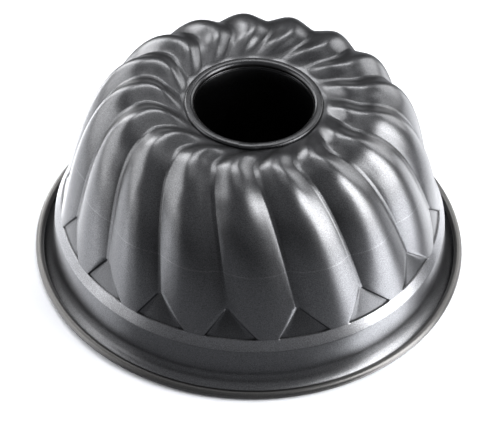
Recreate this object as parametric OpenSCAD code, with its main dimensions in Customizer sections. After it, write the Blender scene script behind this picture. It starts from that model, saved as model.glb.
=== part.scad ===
// Ring-cake pan pressed from sheet steel, standing on its rolled rim with the mouth of the tube up.
// Millimetres, +Z up. The origin is on the tube's axis, in the plane that the rim stands on.

/* [Overall] */
// Outer diameter over the rolled rim
rim_d = 230; // [190:1:280]
// Height from the rest plane to the crests of the flutes
pan_h = 103.5; // [84:0.5:130]
// Thickness of the sheet
sheet_t = 0.6; // [0.5:0.05:0.9]

/* [Rolled rim] */
// Outside diameter of the rolled bead
bead_d = 4.4; // [3.8:0.1:6]
// How far round the sheet curls, from the bottom of the bead outwards
curl_deg = 280; // [240:5:300]
// Width of the flat land that the rim stands on
land_w = 2.2; // [1.6:0.1:4]
// Clearance between the wire and the curl round it
wire_gap = 0.1; // [0.05:0.05:0.3]

/* [Collar] */
// Radius of the flare between the rim and the collar's wall
flare_r = 4.8; // [3:0.2:7]
// Height of the collar's top edge
collar_h = 23; // [17:0.5:30]
// Lean of the collar's wall from upright
collar_lean = 6.8; // [3:0.2:12]
// Radial width of the sloping shoulder above the collar
shoulder_w = 3.1; // [2:0.1:5]
// Height of the sloping shoulder
shoulder_h = 5.3; // [3.5:0.1:8]

/* [Flutes] */
// Number of flutes round the dome
flute_n = 17; // [12:1:19]
// Depth of the valleys half-way up the dome
flute_depth = 3.9; // [2:0.1:5.5]
// Depth of the valleys at the top of the crown
crown_depth = 3.3; // [1.5:0.1:4.5]
// Depth of the valleys at the foot
foot_depth = 1.3; // [0.6:0.1:2.5]
// Turn of the flutes from the foot to the crown's top
sweep_out = 15; // [0:1:30]
// Turn back of the flutes from the crown's top to the well
sweep_in = 13; // [0:1:26]
// Width of the bottom of a valley
crease_w = 1.0; // [0.6:0.1:2]
// Turn of the whole pattern about the tube's axis
phase = -4.1; // [-15:0.1:15]

/* [Triangular panels] */
// Height of a panel above the shoulder
panel_h = 15; // [8:0.5:22]
// Width of a flute's foot between two panels
neck_w = 11.6; // [8:0.2:18]
// How far the flutes stand proud of the panels
panel_step = 0.9; // [0.4:0.1:1.6]
// Width of the step round a panel
step_w = 1.3; // [0.8:0.1:2]

/* [Dome] */
// Lean of the flutes from upright at the foot
flank_lean = 12; // [4:1:20]
// How far the flank's straightness carries up the dome
flank_pull = 48; // [30:1:60]
// Radius of the circle round the crown's top
crown_r = 55; // [48:0.5:66]
// How far the crown's flatness carries outwards
crown_pull = 25; // [12:1:34]
// How far the crown's flatness carries inwards
well_pull = 10; // [4:0.5:14]
// Depth of the well round the tube below the crests
well_h = 7.4; // [3:0.2:12]
// Slope of the well's wall where it meets the tube's seat
well_slope = 30; // [15:1:50]

/* [Centre tube] */
// Inside diameter of the tube's mouth
mouth_d = 61; // [40:0.5:72]
// Inside diameter of the tube's free end
tube_end_d = 46; // [30:0.5:60]
// Height of the tube's free end above the rest plane
tube_lift = 5; // [3:0.5:20]
// Width of the flange folded over the shell
flange_w = 4.9; // [4.6:0.1:7]
// Radius of the fold between the tube and its flange
fold_r = 1.6; // [1:0.1:2]
// Radius of the flange's turned-down edge
edge_r = 0.9; // [0.5:0.05:1.1]
// Radius of the bead that locks the tube below the shell
lock_r = 1.3; // [1.1:0.1:1.8]
// Radius of the rolled free end
hem_r = 1.4; // [1.2:0.1:2]
// Clearance between the tube and the shell's hole
hole_gap = 0.3; // [0.1:0.05:0.6]
// Clearance between the shell's seat and the pieces that clamp it
seat_gap = 0.02; // [0:0.01:0.1]

/* [Hidden] */
$fn = 96;

// Rolled rim and collar, as radius and height
bead_r = bead_d / 2;
curl_c = [rim_d / 2 - bead_r, bead_r];
flare_c = [curl_c.x - land_w, sheet_t + flare_r];
wall_foot = flare_c - flare_r * [cos(collar_lean), sin(collar_lean)];
shoulder = [wall_foot.x - (collar_h - wall_foot.y) * tan(collar_lean), collar_h];
foot = shoulder + [-shoulder_w, shoulder_h];
shoulder_lean = atan2(shoulder_w, shoulder_h);

// Tube and its seat in the crown
seat_z = pan_h - well_h;
ring_z = seat_z + seat_gap + edge_r + sheet_t;
mouth_r = mouth_d / 2;
hole_r = mouth_r + 2 * sheet_t + hole_gap;
flange_r = mouth_r + flange_w;
well_r = flange_r + sheet_t;

// Flutes: pitch and the rows and columns of the dome's grid
pitch = 360 / flute_n;
foot_half = (pitch * foot.x * PI / 180 - neck_w) / foot.x * 90 / PI;
PANEL_ROWS = 3;
FLANK_ROWS = 6;
WELL_ROWS = 3;
LOBE_COLS = 6;
chord = foot.x * (1 - cos(foot_half / 2));

function mix(a, b, x) = a + (b - a) * x;
function bezier(a, b, c, d, t) =
    pow(1 - t, 3) * a + 3 * pow(1 - t, 2) * t * b + 3 * (1 - t) * t * t * c + pow(t, 3) * d;
function bezier_way(a, b, c, d, t) =
    3 * (pow(1 - t, 2) * (b - a) + 2 * (1 - t) * t * (c - b) + t * t * (d - c));

// Crest line from the foot (0) over the crown's top (1) to the well (2)
crown = [crown_r, pan_h];
well = [well_r, seat_z];
flank_h = foot + flank_pull * [-sin(flank_lean), cos(flank_lean)];
crown_o = crown + [crown_pull, 0];
crown_i = crown - [well_pull, 0];
well_i = well + well_pull * [cos(well_slope), sin(well_slope)];
function crest(t) = t <= 1 ? bezier(foot, flank_h, crown_o, crown, t)
                           : bezier(crown, crown_i, well_i, well, t - 1);
function crest_way(t) = t <= 1 ? bezier_way(foot, flank_h, crown_o, crown, t)
                               : bezier_way(crown, crown_i, well_i, well, t - 1);
function crest_out(t) = let (w = crest_way(t)) [w.y, -w.x] / norm(w);

// Where on the crest line a height is reached, for the flank
function t_at(z, lo = 0, hi = 1, n = 24) = let (m = (lo + hi) / 2)
    n == 0 ? m : crest(m).y < z ? t_at(z, m, hi, n - 1) : t_at(z, lo, m, n - 1);
panel_t = t_at(foot.y + panel_h);

// Depth of the valleys, roundness of their bottoms and turn of the flutes along the crest line
function depth(t) = t <= 1 ? bezier(foot_depth, 1.3 * flute_depth, 0.95 * flute_depth, crown_depth, t)
    : crown_depth * (1 - pow(t - 1, 2));
function turn(t) = phase - sweep_out * min(t, 1)
    + (t > 1 ? sweep_in * pow((crown_r - crest(t).x) / (crown_r - well_r), 2) : 0);
function smooth(x) = let (y = min(max(x, 0), 1)) y * y * (3 - 2 * y);
function lobe(v, t) = let (s = sin(180 * v), q = mix(0.1, 0.85, smooth((t - 0.35) / 0.65))) (1 - q) * s + q * s * s;

// Columns of a row, as turns from its first valley: three across the panel or the valley's bottom, then the flute
function deg(w, t) = w / crest(t).x * 180 / PI;
function half_at(t) = mix(foot_half, deg(crease_w / 2, t), min(t / panel_t, 1));
function column(t, k) = let (h = half_at(t), s = h + deg(step_w, t))
    k < 3 ? (k - 1) * h : mix(s, pitch - s, (k - 3) / LOBE_COLS);
function sink(t, k) = let (c = deg(crease_w / 2, t))
    k < 3 ? depth(t) : depth(t) * (1 - lobe((column(t, k) - c) / (pitch - 2 * c), t));
function panel_sink(t) = mix(0, depth(panel_t), t / panel_t) + panel_step;
function spot(p, th) = [p.x * sin(th), -p.x * cos(th), p.y];
function row(t, sunk, off) = [for (i = [0 : flute_n - 1], k = [0 : LOBE_COLS + 3])
    spot(crest(t) - ((sunk && k < 3 ? panel_sink(t) : sink(t, k)) + off) * crest_out(t),
         turn(t) + i * pitch + column(t, k))];
function ring(r, z, t) = [for (i = [0 : flute_n - 1], k = [0 : LOBE_COLS + 3])
    spot([r, z], turn(t) + i * pitch + column(t, k))];

// Both skins of the dome, from the shoulder up and over to the edge of the hole
edge_t = 0.03 * panel_t;
function skin(off) = concat(
    [for (i = [0 : PANEL_ROWS]) row(max(edge_t, panel_t * i / PANEL_ROWS), true, off)],
    [for (i = [0 : FLANK_ROWS]) row(mix(panel_t + edge_t, 1, i / FLANK_ROWS), false, off)],
    [for (i = [1 : WELL_ROWS]) row(1 + i / WELL_ROWS, false, off)]);
module dome() {
    down = 2 * [sin(shoulder_lean), -cos(shoulder_lean)];
    inward = [-cos(shoulder_lean), -sin(shoulder_lean)];
    skin_o = 0.25 * sheet_t * inward;
    skin_i = max(0.45 * sheet_t, 0.92 * sheet_t - chord) * inward;
    root_o = foot + down + skin_o;
    root_i = foot + down + skin_i;
    neck_o = foot + 0.15 * down + skin_o;
    neck_i = foot + 0.15 * down + skin_i;
    outer = skin(0);
    inner = skin(sheet_t);
    last = len(outer) - 1;
    rows = concat(
        [ring(root_o.x, root_o.y, 0), ring(neck_o.x, neck_o.y, 0)],
        outer,
        [ring(hole_r, seat_z, 2), ring(hole_r, seat_z - sheet_t, 2), ring(well_r, seat_z - sheet_t, 2)],
        [for (i = [last - 1 : -1 : 0]) inner[i]],
        [ring(neck_i.x, neck_i.y, 0), ring(root_i.x, root_i.y, 0)]);
    cols = len(rows[0]);
    n = len(rows);
    faces = [for (i = [0 : n - 1], j = [0 : cols - 1]) let (
        a = i * cols + j, b = i * cols + (j + 1) % cols,
        c = (i + 1) % n * cols + (j + 1) % cols, d = (i + 1) % n * cols + j)
        each [[a, c, b], [a, d, c]]];
    polyhedron([for (r = rows) each r], faces);
}

// A band of sheet along an arc in the section: centre, radius of its hollow side, start and sweep in degrees
module arc_band(c, r, from, sweep) {
    far = 4 * (r + sheet_t);
    translate(c) intersection() {
        difference() {
            circle(r = r + sheet_t);
            circle(r = r);
        }
        polygon(concat([[0, 0]], [for (i = [0 : 4]) far * [cos(from + sweep * i / 4), sin(from + sweep * i / 4)]]));
    }
}

// Sheet offset inwards at a corner between two straight stretches of the section
function inset(p, lean_a, lean_b) = let (
    na = [cos(lean_a), sin(lean_a)], nb = [cos(lean_b), sin(lean_b)])
    p - sheet_t * (na + nb) / (1 + na * nb);

module collar_section() {
    polygon([wall_foot, shoulder, foot,
        inset(foot, shoulder_lean, shoulder_lean),
        inset(shoulder, collar_lean, shoulder_lean),
        inset(wall_foot, collar_lean, collar_lean)]);
    arc_band(flare_c, flare_r, 180 + collar_lean, 90 - collar_lean);
    translate([flare_c.x, 0]) square([land_w, sheet_t]);
    arc_band(curl_c, bead_r - sheet_t, -90, curl_deg);
}

module fluted_shell() color("dimgray") {
    dome();
    rotate_extrude() collar_section();
}

// Section of the tube: wall, flange, locking bead and rolled end
module tube_section() {
    lock_z = seat_z - sheet_t - seat_gap - lock_r;
    wall_top = ring_z - sheet_t - fold_r;
    foot_z = tube_lift + hem_r;
    end_r = tube_end_d / 2;
    lock_top = lock_z + lock_r - sheet_t / 2;
    polygon([[mouth_r, wall_top], [mouth_r, lock_z - lock_r], [end_r, foot_z],
             [end_r + sheet_t, foot_z], [mouth_r + sheet_t, lock_z - lock_r], [mouth_r + sheet_t, wall_top]]);
    arc_band([mouth_r + sheet_t + fold_r, wall_top], fold_r, 90, 90);
    translate([mouth_r + sheet_t + fold_r, ring_z - sheet_t])
        square([flange_w - 2 * sheet_t - fold_r - edge_r, sheet_t]);
    arc_band([flange_r - sheet_t - edge_r, ring_z - sheet_t - edge_r], edge_r, 0, 90);
    arc_band([mouth_r + sheet_t / 2, lock_z], lock_r - sheet_t, -90, 180);
    arc_band([end_r + hem_r, foot_z], hem_r - sheet_t, 180, 280);
}

module centre_tube() color("dimgray") rotate_extrude() tube_section();

module rim_wire() color("silver")
    rotate_extrude() translate(curl_c) circle(r = bead_r - sheet_t - wire_gap);

fluted_shell();
centre_tube();
rim_wire();
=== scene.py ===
import math

import bmesh
import bpy
from bpy.props import FloatProperty, FloatVectorProperty, IntProperty, PointerProperty
from mathutils import Matrix, Vector


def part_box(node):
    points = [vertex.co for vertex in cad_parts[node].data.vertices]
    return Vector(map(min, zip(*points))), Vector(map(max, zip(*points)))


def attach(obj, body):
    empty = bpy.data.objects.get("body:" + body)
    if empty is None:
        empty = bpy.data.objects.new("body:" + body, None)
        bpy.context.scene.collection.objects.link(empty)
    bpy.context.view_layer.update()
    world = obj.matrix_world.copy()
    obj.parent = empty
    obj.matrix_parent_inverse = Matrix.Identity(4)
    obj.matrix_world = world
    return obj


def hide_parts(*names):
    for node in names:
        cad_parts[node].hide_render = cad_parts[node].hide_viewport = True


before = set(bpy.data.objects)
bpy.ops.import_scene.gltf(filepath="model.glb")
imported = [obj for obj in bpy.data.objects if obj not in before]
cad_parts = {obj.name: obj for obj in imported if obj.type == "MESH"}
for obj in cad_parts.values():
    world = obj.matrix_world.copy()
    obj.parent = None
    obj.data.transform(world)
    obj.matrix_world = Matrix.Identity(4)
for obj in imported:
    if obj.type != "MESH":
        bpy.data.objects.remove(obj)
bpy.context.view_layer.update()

bl_info = {
    "name": "Fluted Ring Pan",
    "version": (1, 0, 0),
    "blender": (4, 5, 0),
    "location": "View3D > Sidebar > Ring Pan",
    "description": "Pressed shell, lapped centre tube and wired rim of a fluted ring-cake pan",
    "category": "Object",
}

SHELL_LO, SHELL_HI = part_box("fluted_shell")
TUBE_FOOT_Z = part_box("centre_tube")[0].z
RIM_R = min(SHELL_HI.x, SHELL_HI.y, -SHELL_LO.x, -SHELL_LO.y)


# ---------------------------------------------------------------- sizes and colours

class PanSizes(bpy.types.PropertyGroup):
    rim_r: FloatProperty(name="Rim radius", description="Outer radius of the rolled rim",
                         default=RIM_R, unit="LENGTH", precision=4)
    height: FloatProperty(name="Height",
                          description="From the rest plane to the crests of the flutes",
                          default=SHELL_HI.z, unit="LENGTH", precision=4)
    sheet: FloatProperty(name="Sheet", description="Thickness of the sheet steel",
                         default=0.0006, unit="LENGTH", precision=5)
    bead_r: FloatProperty(name="Bead radius", description="Outer radius of the rolled bead",
                          default=0.0022, unit="LENGTH", precision=4)
    land: FloatProperty(name="Land", description="Width of the flat land the rim stands on",
                        default=0.0006, unit="LENGTH", precision=4)
    flare_w: FloatProperty(name="Flare width",
                           description="Width over which the collar turns into the land",
                           default=0.0070, unit="LENGTH", precision=4)
    flare_h: FloatProperty(name="Flare height",
                           description="Height over which the collar turns into the land",
                           default=0.0105, unit="LENGTH", precision=4)
    collar_h: FloatProperty(name="Collar height", description="Height of the collar's top edge",
                            default=0.023, unit="LENGTH", precision=4)
    collar_lean: FloatProperty(name="Collar lean", description="Lean of the collar from upright",
                               default=math.radians(6.8), subtype="ANGLE")
    shoulder_w: FloatProperty(name="Shoulder width",
                              description="Radial width of the sloping shoulder",
                              default=0.0031, unit="LENGTH", precision=4)
    shoulder_h: FloatProperty(name="Shoulder height", description="Height of the sloping shoulder",
                              default=0.0053, unit="LENGTH", precision=4)
    flutes: IntProperty(name="Flutes", description="Number of flutes round the dome",
                        default=17, min=6)
    flute_depth: FloatProperty(name="Flute depth", description="Depth of the valleys half-way up",
                               default=0.0039, unit="LENGTH", precision=4)
    crown_depth: FloatProperty(name="Crown depth", description="Depth of the valleys on the crown",
                               default=0.0033, unit="LENGTH", precision=4)
    foot_depth: FloatProperty(name="Foot depth", description="Depth of the valleys at the foot",
                              default=0.0013, unit="LENGTH", precision=4)
    panel_h: FloatProperty(name="Panel height", description="Height of the three-cornered panels",
                           default=0.015, unit="LENGTH", precision=4)
    panel_step: FloatProperty(name="Panel step",
                              description="How far the flutes stand proud of the panels",
                              default=0.0009, unit="LENGTH", precision=5)
    neck_w: FloatProperty(name="Flute foot", description="Width of a flute between two panels",
                          default=0.0116, unit="LENGTH", precision=4)
    mouth_r: FloatProperty(name="Mouth radius", description="Inner radius of the tube's mouth",
                           default=0.0305, unit="LENGTH", precision=4)
    flange_w: FloatProperty(name="Flange", description="Width of the flange folded over the shell",
                            default=0.0049, unit="LENGTH", precision=4)
    lap: FloatProperty(name="Lap", description="How far the tube's lapped seam stands proud",
                       default=0.0007, unit="LENGTH", precision=5)


class PanFinish(bpy.types.PropertyGroup):
    coat: FloatVectorProperty(name="Coating", description="Colour of the outer coating",
                              subtype="COLOR", size=3, default=(0.105, 0.106, 0.110),
                              min=0, max=1)
    inner: FloatVectorProperty(name="Baking side",
                               description="Colour of the coating on the baking side",
                               subtype="COLOR", size=3, default=(0.094, 0.092, 0.090),
                               min=0, max=1)
    steel: FloatVectorProperty(name="Wire", description="Colour of the bare steel wire",
                               subtype="COLOR", size=3, default=(0.42, 0.42, 0.43),
                               min=0, max=1)
    gloss: FloatProperty(name="Roughness", description="Roughness of the coating",
                         default=0.30, min=0, max=1, subtype="FACTOR")
    grain: FloatProperty(name="Grain", description="Strength of the coating's metallic speckle",
                         default=0.34, min=0, max=1, subtype="FACTOR")


class PanStudio(bpy.types.PropertyGroup):
    table_r: FloatProperty(name="Table radius", description="Radius of the pale table",
                           default=0.52, unit="LENGTH")
    table: FloatVectorProperty(name="Table", description="Colour of the table", subtype="COLOR",
                               size=3, default=(0.82, 0.83, 0.86), min=0, max=1)
    wax: FloatProperty(name="Table shine", description="How much the table gives back to the pan",
                       default=0.90, min=0, max=1, subtype="FACTOR")
    room: FloatProperty(name="Room", description="Brightness of the room level with the table",
                        default=0.09, min=0)
    ceiling: FloatProperty(name="Ceiling", description="Brightness of the ceiling",
                           default=0.34, min=0)
    power: FloatProperty(name="Light", description="Brightness of all the lamps",
                         default=1.0, min=0)


# ---------------------------------------------------------------- the dome's shape

# the crest line: two curves that meet on the crown, with the pull on each end's tangent
CROWN_R = 0.055
CROWN_DROP = 0.00002          # keeps the crests just under the object's top
WELL_DROP = 0.0074            # from the crests down to the seat of the tube's flange
RING_RISE = 0.00152           # from that seat up to the top of the flange
FLANK_LEAN, FLANK_PULL = math.radians(12), 0.048
WELL_SLOPE, WELL_PULL = math.radians(30), 0.010
CROWN_PULL_OUT, CROWN_PULL_IN = 0.025, 0.010

# the valleys: how they turn round the pan, and how their depth and roundness change
PHASE = math.radians(-4.1)
SWEEP_OUT, SWEEP_IN = math.radians(15), math.radians(13)
LOW_SWELL, HIGH_SWELL = 1.3, 0.95
FOOT_ROUND, CROWN_ROUND, ROUND_FROM = 0.1, 0.85, 0.35
CREASE_HALF = 0.0005          # half the width of a valley's floor
STEP_W = 0.0013               # width of the step from a panel up to a flute
PANEL_FADE = 0.09             # how soon that step dies out above a panel

# columns of one flute's pitch: a panel or a valley's floor, a step, the flute, a step
FLUTE_COLS, FLAT_COLS, STEP_COLS = 24, 6, 3
LOBE_COLS = FLUTE_COLS - FLAT_COLS - 2 * STEP_COLS


def mix(a, b, x):
    return a + (b - a) * x


def smooth(x):
    x = min(max(x, 0.0), 1.0)
    return x * x * (3 - 2 * x)


def heading(angle):
    return Vector((math.cos(angle), math.sin(angle)))


def curve(p, t):
    """Point of a cubic curve, and the way it runs there."""
    a, b, c, d = p
    u = 1 - t
    at = u ** 3 * a + 3 * u * u * t * b + 3 * u * t * t * c + t ** 3 * d
    way = 3 * (u * u * (b - a) + 2 * u * t * (c - b) + t * t * (d - c))
    return at, way


class Dome:
    """The shell's profile as radius and height, and the shape of its flutes.

    The place on the dome is t: 0 at the foot, 1 on the crown, 2 at the tube's flange.
    """

    def __init__(self, s):
        self.s = s
        lean = math.tan(s.collar_lean)
        self.bead_c = Vector((s.rim_r - s.bead_r, s.bead_r))
        self.flare_c = Vector((self.bead_c.x - s.land, s.sheet + s.flare_h))
        self.flare_a = math.atan(lean * s.flare_h / s.flare_w)
        self.wall = self.flare_c - Vector((s.flare_w * math.cos(self.flare_a),
                                           s.flare_h * math.sin(self.flare_a)))
        self.shoulder = Vector((self.wall.x - (s.collar_h - self.wall.y) * lean, s.collar_h))
        self.foot = self.shoulder + Vector((-s.shoulder_w, s.shoulder_h))
        self.seat_z = s.height - WELL_DROP
        self.ring_z = self.seat_z + RING_RISE
        self.well_r = s.mouth_r + s.flange_w + s.sheet
        crown = Vector((CROWN_R, s.height - CROWN_DROP))
        well = Vector((self.well_r, self.seat_z))
        self.up = (self.foot, self.foot + FLANK_PULL * heading(math.pi / 2 + FLANK_LEAN),
                   crown + Vector((CROWN_PULL_OUT, 0)), crown)
        self.over = (crown, crown - Vector((CROWN_PULL_IN, 0)),
                     well + WELL_PULL * heading(WELL_SLOPE), well)
        self.pitch = math.tau / s.flutes
        self.panel_t = self.reach(self.foot.y + s.panel_h)
        self.foot_half = self.pitch / 2 - s.neck_w / self.foot.x / 2

    def reach(self, z):
        """The t at which the crest line gets to a height, found by halving."""
        lo, hi = 0.0, 1.0
        for _ in range(24):
            m = (lo + hi) / 2
            if curve(self.up, m)[0].y < z:
                lo = m
            else:
                hi = m
        return (lo + hi) / 2

    def crest(self, t):
        """Point of the crest line, and the direction out of the sheet there."""
        at, way = curve(self.up, t) if t <= 1 else curve(self.over, t - 1)
        return at, Vector((way.y, -way.x)).normalized()

    def depth(self, t):
        """Depth of the valleys below the crest line."""
        s = self.s
        if t <= 1:
            u = 1 - t
            return (u ** 3 * s.foot_depth + 3 * u * u * t * LOW_SWELL * s.flute_depth
                    + 3 * u * t * t * HIGH_SWELL * s.flute_depth + t ** 3 * s.crown_depth)
        return s.crown_depth * (1 - (t - 1) ** 2)

    def turn(self, t, r):
        """How far the valleys have swung round the pan."""
        back = 0.0
        if t > 1:
            back = SWEEP_IN * ((CROWN_R - r) / (CROWN_R - self.well_r)) ** 2
        return PHASE - SWEEP_OUT * min(t, 1) + back

    def lobe(self, v, t):
        """Height of a flute's cross-section, from 0 at its sides to 1 on its crest."""
        w = math.sin(math.pi * min(max(v, 0.0), 1.0))
        q = mix(FOOT_ROUND, CROWN_ROUND, smooth((t - ROUND_FROM) / (1 - ROUND_FROM)))
        return (1 - q) * w + q * w * w

    def spot(self, t, k):
        """Radius, height and angle of column k of a flute's pitch, and its share of the depth."""
        s = self.s
        at, out = self.crest(t)
        crease = CREASE_HALF / at.x
        step = STEP_W / at.x
        climb = min(t / self.panel_t, 1.0)
        half = mix(self.foot_half, crease, climb)
        d = self.depth(t)

        def sink(a):
            return d * (1 - self.lobe((a - crease) / (self.pitch - 2 * crease), t))

        past = smooth((t - self.panel_t) / (PANEL_FADE * self.panel_t))
        sunk = d * climb + s.panel_step * (1 - past)
        if k <= FLAT_COLS:
            a, deep = mix(-half, half, k / FLAT_COLS), sunk
        elif k < FLAT_COLS + STEP_COLS:
            x = (k - FLAT_COLS) / STEP_COLS
            a = half + step * x
            deep = mix(sunk, sink(a), smooth(x))
        elif k <= FLUTE_COLS - STEP_COLS:
            x = (k - FLAT_COLS - STEP_COLS) / LOBE_COLS
            a = mix(half + step, self.pitch - half - step, x)
            deep = sink(a)
        else:
            x = (FLUTE_COLS - k) / STEP_COLS
            a = self.pitch - half - step * x
            deep = mix(sunk, sink(a), smooth(x))
        p = at - deep * out
        return p.x, p.y, self.turn(t, at.x) + a, deep / max(d, 1e-6)


# ---------------------------------------------------------------- mesh tools

def arc(centre, r, start, sweep, n):
    """Points round a centre, from an angle and through a sweep in degrees."""
    return [centre + r * heading(math.radians(start + sweep * i / n)) for i in range(n + 1)]


def lathe(bm, section, cols):
    """Spins a section of (radius, height) points a full turn, and marks each vertex's row."""
    row = bm.verts.layers.int.new("row")
    verts = []
    for i, p in enumerate(section):
        v = bm.verts.new((0, -p[0], p[1]))
        v[row] = i
        verts.append(v)
    for a, b in zip(verts, verts[1:]):
        bm.edges.new((a, b))
    bmesh.ops.spin(bm, geom=bm.verts[:] + bm.edges[:], cent=(0, 0, 0), axis=(0, 0, 1),
                   angle=math.tau, steps=cols, use_merge=True)
    bmesh.ops.remove_doubles(bm, verts=bm.verts, dist=1e-7)
    return row


def column(v, cols):
    return round(math.atan2(v.co.x, -v.co.y) / math.tau * cols) % cols


def face_out(bm, above):
    """Turns all faces the same way, so that the ones above a height look up."""
    bmesh.ops.recalc_face_normals(bm, faces=bm.faces)
    top = [f for f in bm.faces if f.calc_center_median().z > above]
    if sum(f.normal.z * f.calc_area() for f in top) < 0:
        bmesh.ops.reverse_faces(bm, faces=bm.faces)


def settle(bm, name, sharp):
    """Makes the mesh an object that rides on the pan, with edges past an angle left sharp."""
    mesh = bpy.data.meshes.new(name)
    bm.to_mesh(mesh)
    bm.free()
    mesh.shade_smooth()
    mesh.set_sharp_from_angle(angle=math.radians(sharp))
    obj = bpy.data.objects.new(name, mesh)
    bpy.context.scene.collection.objects.link(obj)
    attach(obj, "root")
    return obj


def thicken(obj, thickness, even=True):
    """Gives a surface its sheet, with the second material on the side away from its faces."""
    wall = obj.modifiers.new("Sheet", "SOLIDIFY")
    wall.thickness = thickness
    wall.offset = -1
    wall.use_even_offset = even
    wall.use_rim = True
    wall.material_offset = 1
    wall.material_offset_rim = 1


# ---------------------------------------------------------------- the shell

WELL_ROWS, FLANK_ROWS = 14, 34
# rows down the panels, as shares of the panels' height, and where the rows of the flank end
PANEL_ROWS = (1.10, 1.06, 1.03, 1.0, 0.96, 0.92, 0.86, 0.78, 0.68, 0.56, 0.42, 0.28, 0.14, 0.06,
              0.02)
FLANK_END = 1.14
SHOULDER_ROWS = 4             # rows of the band along the shoulder that carries a painted highlight
FLARE_SHEEN = 0.35             # painted highlight on the flare, where the shoulder's is 1
# painted shade on the panels and on the steps round them; the valleys carry up to 1 by their depth
PANEL_SHADE, STEP_SHADE = 1.2, 2.0
HOLE_GAP = 0.0003             # between the edge of the shell's hole and the tube


def shell_section(dome, ts):
    """Profile from the hole to the end of the curl, and the rows of the shoulder and flare."""
    s = dome.s
    fall = (dome.foot - dome.shoulder).normalized()
    drop = (dome.wall - dome.shoulder).normalized()
    tilt = math.degrees(dome.flare_a)
    section = [Vector((s.mouth_r + 2 * s.sheet + HOLE_GAP, dome.seat_z))]
    section += [dome.crest(t)[0] for t in ts]
    plain = len(section)
    # close rows at the foot and at the shoulder's corner keep both edges crisp
    section += [dome.foot, dome.foot - 0.0004 * fall, mix(dome.foot, dome.shoulder, 0.5),
                dome.shoulder + 0.0005 * fall, dome.shoulder + 0.0001 * (fall + drop),
                dome.shoulder + 0.0005 * drop, mix(dome.shoulder, dome.wall, 0.5)]
    flare = len(section)
    section += [dome.flare_c + Vector((p.x * s.flare_w, p.y * s.flare_h))
                for p in arc(Vector((0, 0)), 1, 180 + tilt, 90 - tilt, 14)]
    flare_end = len(section) - 1
    section += arc(dome.bead_c, s.bead_r - s.sheet, -90, 280, 20)
    return section, plain, flare, flare_end


def make_shell(s):
    """Lathes the profile, then moves each vertex of the dome to its place on a flute."""
    dome = Dome(s)
    cols = FLUTE_COLS * s.flutes
    ts = [2 - i / WELL_ROWS for i in range(WELL_ROWS)]
    ts += [1 - i / FLANK_ROWS * (1 - FLANK_END * dome.panel_t) for i in range(FLANK_ROWS)]
    ts += [dome.panel_t * x for x in PANEL_ROWS]
    section, plain, flare, flare_end = shell_section(dome, ts)
    steps = {*range(FLAT_COLS + 1, FLAT_COLS + STEP_COLS),
             *range(FLUTE_COLS - STEP_COLS + 1, FLUTE_COLS)}
    bm = bmesh.new()
    row = lathe(bm, section, cols)
    # painted shade by the valleys' depth, on the panels and on their steps
    painted_shade = bm.verts.layers.float.new("valley")
    # painted highlight on the shoulder band and, less, on the flare
    painted_sheen = bm.verts.layers.float.new("painted_sheen")
    for v in bm.verts:
        i = v[row]
        flute, k = divmod(column(v, cols), FLUTE_COLS)
        if 1 <= i < plain:
            t = ts[i - 1]
            r, z, a, deep = dome.spot(t, k)
            panel = t < 0.99 * dome.panel_t
            if panel and k in steps:
                v[painted_shade] = STEP_SHADE
            elif panel and k <= FLAT_COLS:
                v[painted_shade] = PANEL_SHADE
            else:
                v[painted_shade] = min(deep, 1.0)
        else:
            r, z = section[i]
            a = dome.spot(ts[-1] if i else 2.0, k)[2]
            if plain <= i < plain + SHOULDER_ROWS:
                v[painted_sheen] = 1.0
            elif flare < i < flare_end:
                v[painted_sheen] = FLARE_SHEEN
        a += flute * dome.pitch
        v.co = (r * math.sin(a), -r * math.cos(a), z)
    face_out(bm, dome.seat_z - 0.001)
    shell = settle(bm, "pressed_shell", 50)
    thicken(shell, s.sheet)
    return shell


# ---------------------------------------------------------------- the tube

LOCK_R, HEM_R, FOLD_R = 0.0013, 0.0014, 0.0016
END_R = 0.023                 # radius of the tube's free end
SEAT_GAP = 0.00002            # between the shell and the tube's flange and locking bead
TUBE_COLS = 512
SEAM, SEAM_FADE = math.radians(-11), math.radians(18)
SEAM_HALF = 0.004             # half the angle of the step at the lap, narrower than a column
LAP_LIFT = 0.4                # how much of the lap goes up, where 1 goes out


def tube_section(dome):
    """Profile from the hem, up the wall and over the locking bead, to the flange's edge."""
    s = dome.s
    lock_z = dome.seat_z - s.sheet - SEAT_GAP - LOCK_R
    fold_z = dome.ring_z - s.sheet - FOLD_R
    hem_z = TUBE_FOOT_Z + HEM_R
    edge_r = dome.ring_z - dome.seat_z - s.sheet - SEAT_GAP
    end, neck = Vector((END_R, hem_z)), Vector((s.mouth_r, lock_z - LOCK_R))
    section = arc(Vector((END_R + HEM_R, hem_z)), HEM_R, 180, 280, 12)[::-1]
    section += [mix(end, neck, i / 12) for i in range(1, 13)]
    section += arc(Vector((s.mouth_r + s.sheet / 2, lock_z)), LOCK_R - s.sheet / 2 - 0.0003,
                   -90, 180, 8)
    section += [Vector((s.mouth_r, lock_z + LOCK_R)), Vector((s.mouth_r, fold_z))]
    section += arc(Vector((s.mouth_r + s.sheet + FOLD_R, fold_z)), FOLD_R + s.sheet,
                   90, 90, 10)[::-1][1:]
    edge = Vector((s.mouth_r + s.flange_w - s.sheet - edge_r, dome.ring_z - s.sheet - edge_r))
    section += arc(edge, edge_r + s.sheet, 0, 90, 10)[::-1]
    return section


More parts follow.
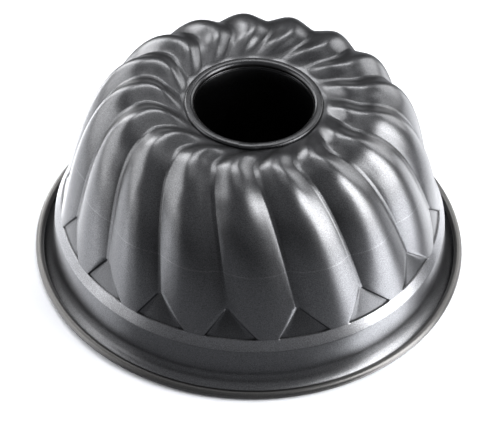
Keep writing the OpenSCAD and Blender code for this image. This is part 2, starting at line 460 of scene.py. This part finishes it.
def lift_lap(bm, dome):
    """Lifts the flange just past the seam, and lets it down again round the ring."""
    s = dome.s
    for v in bm.verts:
        a = math.atan2(v.co.x, -v.co.y)
        past = a - SEAM
        if -SEAM_HALF < past < SEAM_FADE and v.co.z > dome.seat_z - 0.0002:
            fade = smooth((past - 0.5 * SEAM_FADE) / (0.5 * SEAM_FADE))
            rise = smooth((past + SEAM_HALF) / (2 * SEAM_HALF)) * (1 - fade)
            far = math.hypot(v.co.x, v.co.y) - s.mouth_r - s.sheet
            way = Vector((math.sin(a), -math.cos(a), LAP_LIFT))
            v.co += rise * s.lap * smooth(far / FOLD_R) * way


def make_tube(s):
    dome = Dome(s)
    bm = bmesh.new()
    lathe(bm, tube_section(dome), TUBE_COLS)
    lift_lap(bm, dome)
    face_out(bm, dome.ring_z - 0.0003)
    tube = settle(bm, "lapped_tube", 45)
    # the lap's sharp step would grow a spike with an even offset
    thicken(tube, s.sheet * 0.98, even=False)
    return tube


# ---------------------------------------------------------------- node tools

def put(tree, socket, value):
    """Links an output to a socket, or sets the socket's own value."""
    if isinstance(value, bpy.types.NodeSocket):
        tree.links.new(value, socket)
    else:
        socket.default_value = value


def node(tree, kind, **inputs):
    """Adds a node and fills its inputs, whose names have _ for a space."""
    n = tree.nodes.new("ShaderNode" + kind)
    for name, value in inputs.items():
        put(tree, n.inputs[name.replace("_", " ")], value)
    return n


def maths(tree, operation, *values):
    n = node(tree, "Math")
    n.operation = operation
    for i, value in enumerate(values):
        put(tree, n.inputs[i], value)
    return n.outputs[0]


def scaled(tree, vector, factor):
    n = node(tree, "VectorMath")
    n.operation = "SCALE"
    put(tree, n.inputs[0], vector)
    put(tree, n.inputs["Scale"], factor)
    return n.outputs["Vector"]


def ranged(tree, value, lo, hi, to_lo, to_hi, soft=False):
    n = node(tree, "MapRange", Value=value, From_Min=lo, From_Max=hi, To_Min=to_lo, To_Max=to_hi)
    if soft:
        n.interpolation_type = "SMOOTHSTEP"
    return n.outputs["Result"]


def marked(tree, name):
    """The value that a piece's vertices carry under a name."""
    n = node(tree, "Attribute")
    n.attribute_name = name
    return n.outputs["Fac"]


def by_ray(tree, seen, others, surface):
    """One shader for rays straight from the camera, and another for the rest."""
    both = node(tree, "MixShader")
    put(tree, both.inputs[0], node(tree, "LightPath").outputs["Is Camera Ray"])
    put(tree, both.inputs[1], others)
    put(tree, both.inputs[2], seen)
    put(tree, surface, both.outputs[0])


def new_group(name, inputs, outputs):
    """A node group with its sockets, and what it is given and gives back."""
    tree = bpy.data.node_groups.new(name, "ShaderNodeTree")
    for key, value in inputs.items():
        kind = "NodeSocketColor" if isinstance(value, tuple) else "NodeSocketFloat"
        item = tree.interface.new_socket(name=key, in_out="INPUT", socket_type=kind)
        item.default_value = value
    for key, kind in outputs.items():
        tree.interface.new_socket(name=key, in_out="OUTPUT", socket_type=kind)
    given, back = tree.nodes.new("NodeGroupInput"), tree.nodes.new("NodeGroupOutput")
    return tree, given.outputs, back.inputs


# ---------------------------------------------------------------- finishes

def grain_group():
    """Fine metallic speckle: a colour, a roughness and a height that change over the surface."""
    if "Coating grain" in bpy.data.node_groups:
        return bpy.data.node_groups["Coating grain"]
    tree, given, back = new_group(
        "Coating grain",
        {"Colour": (0.1, 0.1, 0.1, 1), "Grain": 0.5, "Scale": 1500.0, "Roughness": 0.3},
        {"Colour": "NodeSocketColor", "Roughness": "NodeSocketFloat", "Height": "NodeSocketFloat"})
    at = node(tree, "TexCoord").outputs["Object"]
    fine = node(tree, "TexNoise", Vector=at, Scale=given["Scale"], Detail=2.0, Roughness=0.65)
    cloud = node(tree, "TexNoise", Vector=at, Scale=55.0, Detail=4.0)
    # speckle: brighter and darker than the base by the grain's strength
    spread = ranged(tree, fine.outputs["Fac"], 0.34, 0.66, -1.0, 1.0)
    speckle = maths(tree, "ADD", maths(tree, "MULTIPLY", spread, given["Grain"]), 1.0)
    put(tree, back["Colour"], scaled(tree, given["Colour"], speckle))
    # roughness wanders a little over the surface
    wander = ranged(tree, cloud.outputs["Fac"], 0.0, 1.0, -0.04, 0.05)
    put(tree, back["Roughness"], maths(tree, "ADD", given["Roughness"], wander))
    put(tree, back["Height"], fine.outputs["Fac"])
    return tree


def line_group():
    """A faint polished line round the pan at one height, left by the press."""
    if "Press line" in bpy.data.node_groups:
        return bpy.data.node_groups["Press line"]
    tree, given, back = new_group("Press line", {"Height": 0.063, "Width": 0.0005},
                                  {"Mask": "NodeSocketFloat"})
    at = node(tree, "TexCoord").outputs["Object"]
    wave = node(tree, "TexNoise", Vector=at, Scale=90.0)
    drift = ranged(tree, wave.outputs["Fac"], 0.0, 1.0, -0.0008, 0.0008)
    z = maths(tree, "ADD", node(tree, "SeparateXYZ", Vector=at).outputs["Z"], drift)
    away = maths(tree, "ABSOLUTE", maths(tree, "SUBTRACT", z, given["Height"]))
    part = maths(tree, "DIVIDE", away, given["Width"])
    put(tree, back["Mask"], ranged(tree, part, 1.0, 0.0, 0.0, 1.0, soft=True))
    return tree


def metal(name):
    mat = bpy.data.materials.new(name)
    mat.use_nodes = True
    shader = mat.node_tree.nodes["Principled BSDF"].inputs
    shader["Metallic"].default_value = 1.0
    return mat, mat.node_tree, shader


def speckled(tree, colour, rough, grain, scale):
    group = node(tree, "Group")
    group.node_tree = grain_group()
    group.inputs["Colour"].default_value = (*colour, 1)
    group.inputs["Grain"].default_value = grain
    group.inputs["Scale"].default_value = scale
    group.inputs["Roughness"].default_value = rough
    return group.outputs


def coating(name, colour, rough, grain, scale, line=0.0):
    """Non-stick coating, with painted shade in the valleys and on the panels and a painted
    highlight on the shoulder and flare.
    """
    mat, tree, shader = metal(name)
    speck = speckled(tree, colour, rough, grain, scale)
    shade = speck["Colour"]
    if line:
        ring = node(tree, "Group")
        ring.node_tree = line_group()
        shade = scaled(tree, shade, ranged(tree, ring.outputs["Mask"], 0.0, 1.0, 1.0, 1.0 + line))
    # painted shade: darker in the valleys, on the panels, and most of all on the steps round the
    # panels
    shade = scaled(tree, shade, ranged(tree, marked(tree, "valley"), 0.5, 2.0, 1.0, 0.25))
    # painted highlight: lighter on the shoulder, and less so on the flare over the rim
    shade = scaled(tree, shade, ranged(tree, marked(tree, "painted_sheen"), 0.0, 1.0, 1.0, 2.0))
    put(tree, shader["Base Color"], shade)
    put(tree, shader["Roughness"], speck["Roughness"])
    bump = node(tree, "Bump", Strength=0.35, Distance=0.00006, Height=speck["Height"])
    put(tree, shader["Normal"], bump.outputs["Normal"])
    return mat


def drawn_wire(colour):
    """Bare wire with fine lines drawn along it."""
    mat, tree, shader = metal("Drawn wire")
    at = node(tree, "SeparateXYZ", Vector=node(tree, "TexCoord").outputs["Object"]).outputs
    far = node(tree, "VectorMath")
    far.operation = "LENGTH"
    put(tree, far.inputs[0], node(tree, "CombineXYZ", X=at["X"], Y=at["Y"]).outputs[0])
    across = node(tree, "CombineXYZ", X=far.outputs["Value"], Y=at["Z"])
    lines = node(tree, "TexNoise", Vector=across.outputs[0], Scale=6000.0)
    speck = speckled(tree, colour, rough=0.34, grain=0.15, scale=900.0)
    put(tree, shader["Base Color"], speck["Colour"])
    put(tree, shader["Roughness"], speck["Roughness"])
    bump = node(tree, "Bump", Strength=0.4, Distance=0.00004, Height=lines.outputs["Fac"])
    put(tree, shader["Normal"], bump.outputs["Normal"])
    return mat


# ---------------------------------------------------------------- operators for the pieces

class PAN_OT_shell(bpy.types.Operator):
    """Builds the pressed shell: crown, flutes, panels, collar and rolled rim"""
    bl_idname = "ring_pan.shell"
    bl_label = "Fluted shell"

    def execute(self, context):
        look = context.scene.pan_finish
        shell = make_shell(context.scene.pan_sizes)
        outer = coating("Outer coating", look.coat, look.gloss, look.grain, 2200.0, line=0.35)
        shell.data.materials.append(outer)
        shell.data.materials.append(
            coating("Baking side", look.inner, look.gloss + 0.05, 0.2, 2300.0))
        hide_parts("fluted_shell")
        return {"FINISHED"}


class PAN_OT_tube(bpy.types.Operator):
    """Builds the tapered centre tube with its lapped seam, locking bead and folded flange"""
    bl_idname = "ring_pan.tube"
    bl_label = "Centre tube"

    def execute(self, context):
        look = context.scene.pan_finish
        tube = make_tube(context.scene.pan_sizes)
        # painted shade: the tube's coating is the outer coating at half its brightness, which
        # keeps the ring as dim as its reflections
        shaded_coat = [0.5 * c for c in look.coat]
        tube.data.materials.append(
            coating("Tube coating", shaded_coat, look.gloss - 0.04, 0.22, 2600.0))
        tube.data.materials.append(
            coating("Tube baking side", look.inner, look.gloss + 0.05, 0.2, 2300.0))
        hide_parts("centre_tube")
        return {"FINISHED"}


class PAN_OT_wire(bpy.types.Operator):
    """Gives the wire inside the rolled rim its drawn-steel finish"""
    bl_idname = "ring_pan.wire"
    bl_label = "Rim wire"

    def execute(self, context):
        steel = drawn_wire(context.scene.pan_finish.steel)
        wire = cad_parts["rim_wire"]
        if not wire.material_slots:
            wire.data.materials.append(steel)
        for slot in wire.material_slots:
            slot.material = steel
        return {"FINISHED"}


# ---------------------------------------------------------------- the studio

def round_place(azimuth, distance, z):
    """A place at an azimuth from the front towards the right, in degrees."""
    a = math.radians(azimuth)
    return (distance * math.sin(a), -distance * math.cos(a), z)


# name, place, height on the axis that it looks at, width, height, brightness
LAMPS = (
    ("Right panel", round_place(73.5, 0.52, 0.28), 0.08, 0.33, 0.56, 11.0),
    ("Right high panel", round_place(52, 0.55, 0.45), 0.08, 0.28, 0.20, 2.5),
    ("Right back panel", round_place(130, 0.65, 0.28), 0.08, 0.44, 0.48, 3.6),
    ("Left panel", round_place(-102, 0.75, 0.34), 0.06, 0.94, 0.66, 3.3),
    ("Left low panel", round_place(-66, 0.62, 0.11), 0.03, 0.30, 0.18, 1.7),
    ("Left strip", round_place(-142, 0.65, 0.28), 0.08, 0.14, 0.50, 8.0),
    ("Top panel", (-0.08, 0.66, 1.03), 0.09, 0.80, 0.34, 7.0),
    ("Top fill", (0.0, 0.12, 1.22), 0.09, 0.80, 0.50, 0.8),
)
TABLE_DROP = 0.00015          # keeps the table just clear of the rim
CAMERA_PLACE, CAMERA_LENS = (0, -0.6955, 0.6847), 129.6
CAMERA_PITCH, CAMERA_ROLL = math.radians(43.79), math.radians(2.0)


def add_lamp(name, place, aim_z, width, height, brightness):
    """A soft square lamp with the given brightness at its face."""
    data = bpy.data.lights.new(name, "AREA")
    data.shape = "RECTANGLE"
    data.size, data.size_y = width, height
    data.energy = brightness * math.pi * width * height * bpy.context.scene.pan_studio.power
    obj = bpy.data.objects.new(name, data)
    bpy.context.scene.collection.objects.link(obj)
    obj.location = place
    obj.rotation_mode = "QUATERNION"
    obj.rotation_quaternion = (Vector((0, 0, aim_z)) - Vector(place)).to_track_quat("-Z", "Y")
    obj.visible_camera = False


def add_table(look):
    """A pale table, which the pan sees as a waxed, darker top."""
    bm = bmesh.new()
    bmesh.ops.create_circle(bm, cap_ends=True, radius=look.table_r, segments=96)
    bmesh.ops.translate(bm, verts=bm.verts, vec=(0, 0, -TABLE_DROP))
    mesh = bpy.data.meshes.new("Table")
    bm.to_mesh(mesh)
    bm.free()
    table = bpy.data.objects.new("table", mesh)
    bpy.context.scene.collection.objects.link(table)
    paint = bpy.data.materials.new("Table paint")
    paint.use_nodes = True
    tree = paint.node_tree
    top = tree.nodes["Principled BSDF"]
    top.inputs["Base Color"].default_value = (*look.table, 1)
    top.inputs["Roughness"].default_value = 0.6
    waxed = node(tree, "BsdfPrincipled", Base_Color=(*[look.wax * c for c in look.table], 1),
                 Metallic=0.85, Roughness=0.16)
    by_ray(tree, top.outputs[0], waxed.outputs[0], tree.nodes["Material Output"].inputs["Surface"])
    mesh.materials.append(paint)


def add_room(look):
    """A white room, which the pan sees as a dim one with a brighter ceiling."""
    world = bpy.data.worlds.new("Room")
    world.use_nodes = True
    bpy.context.scene.world = world
    tree = world.node_tree
    room = tree.nodes["Background"]
    room.inputs["Color"].default_value = (0.95, 0.96, 1.0, 1)
    at = node(tree, "TexCoord").outputs["Generated"]
    z = node(tree, "SeparateXYZ", Vector=at).outputs["Z"]
    put(tree, room.inputs["Strength"],
        ranged(tree, z, 0.05, 0.27, look.room, look.ceiling, soft=True))
    white = node(tree, "Background", Color=(1, 1, 1, 1), Strength=1.05)
    by_ray(tree, white.outputs[0], room.outputs[0], tree.nodes["World Output"].inputs["Surface"])


def add_camera():
    data = bpy.data.cameras.new("Camera")
    data.sensor_width = 36.0
    data.lens = CAMERA_LENS
    data.clip_start, data.clip_end = 0.01, 50
    cam = bpy.data.objects.new("Camera", data)
    bpy.context.scene.collection.objects.link(cam)
    ahead = Vector((0, math.cos(CAMERA_PITCH), -math.sin(CAMERA_PITCH)))
    right = Vector((1, 0, 0))
    above = right.cross(ahead)
    x = math.cos(CAMERA_ROLL) * right + math.sin(CAMERA_ROLL) * above
    y = -math.sin(CAMERA_ROLL) * right + math.cos(CAMERA_ROLL) * above
    turned = Matrix((x, y, -ahead)).transposed().to_4x4()
    cam.matrix_world = Matrix.Translation(CAMERA_PLACE) @ turned
    bpy.context.scene.camera = cam


class PAN_OT_studio(bpy.types.Operator):
    """Sets the pale table, the soft lamps, the room and the camera"""
    bl_idname = "ring_pan.studio"
    bl_label = "Studio"

    def execute(self, context):
        look = context.scene.pan_studio
        add_table(look)
        add_room(look)
        for lamp in LAMPS:
            add_lamp(*lamp)
        add_camera()
        context.scene.view_settings.view_transform = "Standard"
        context.scene.view_settings.look = "None"
        return {"FINISHED"}


class PAN_PT_sidebar(bpy.types.Panel):
    """Sizes, finishes and steps of the ring pan"""
    bl_label = "Ring Pan"
    bl_idname = "PAN_PT_sidebar"
    bl_space_type = "VIEW_3D"
    bl_region_type = "UI"
    bl_category = "Ring Pan"

    def draw(self, context):
        scene = context.scene
        for group in (scene.pan_sizes, scene.pan_finish, scene.pan_studio):
            box = self.layout.box()
            for name in group.__annotations__:
                box.prop(group, name)
        for op in (PAN_OT_shell, PAN_OT_tube, PAN_OT_wire, PAN_OT_studio):
            self.layout.operator(op.bl_idname)


CLASSES = (PanSizes, PanFinish, PanStudio, PAN_OT_shell, PAN_OT_tube, PAN_OT_wire, PAN_OT_studio,
           PAN_PT_sidebar)


def register():
    for c in CLASSES:
        bpy.utils.register_class(c)
    bpy.types.Scene.pan_sizes = PointerProperty(type=PanSizes)
    bpy.types.Scene.pan_finish = PointerProperty(type=PanFinish)
    bpy.types.Scene.pan_studio = PointerProperty(type=PanStudio)


def unregister():
    del bpy.types.Scene.pan_studio
    del bpy.types.Scene.pan_finish
    del bpy.types.Scene.pan_sizes
    for c in reversed(CLASSES):
        bpy.utils.unregister_class(c)


def main():
    register()
    bpy.ops.ring_pan.shell()
    bpy.ops.ring_pan.tube()
    bpy.ops.ring_pan.wire()
    bpy.ops.ring_pan.studio()


if __name__ == "__main__":
    main()
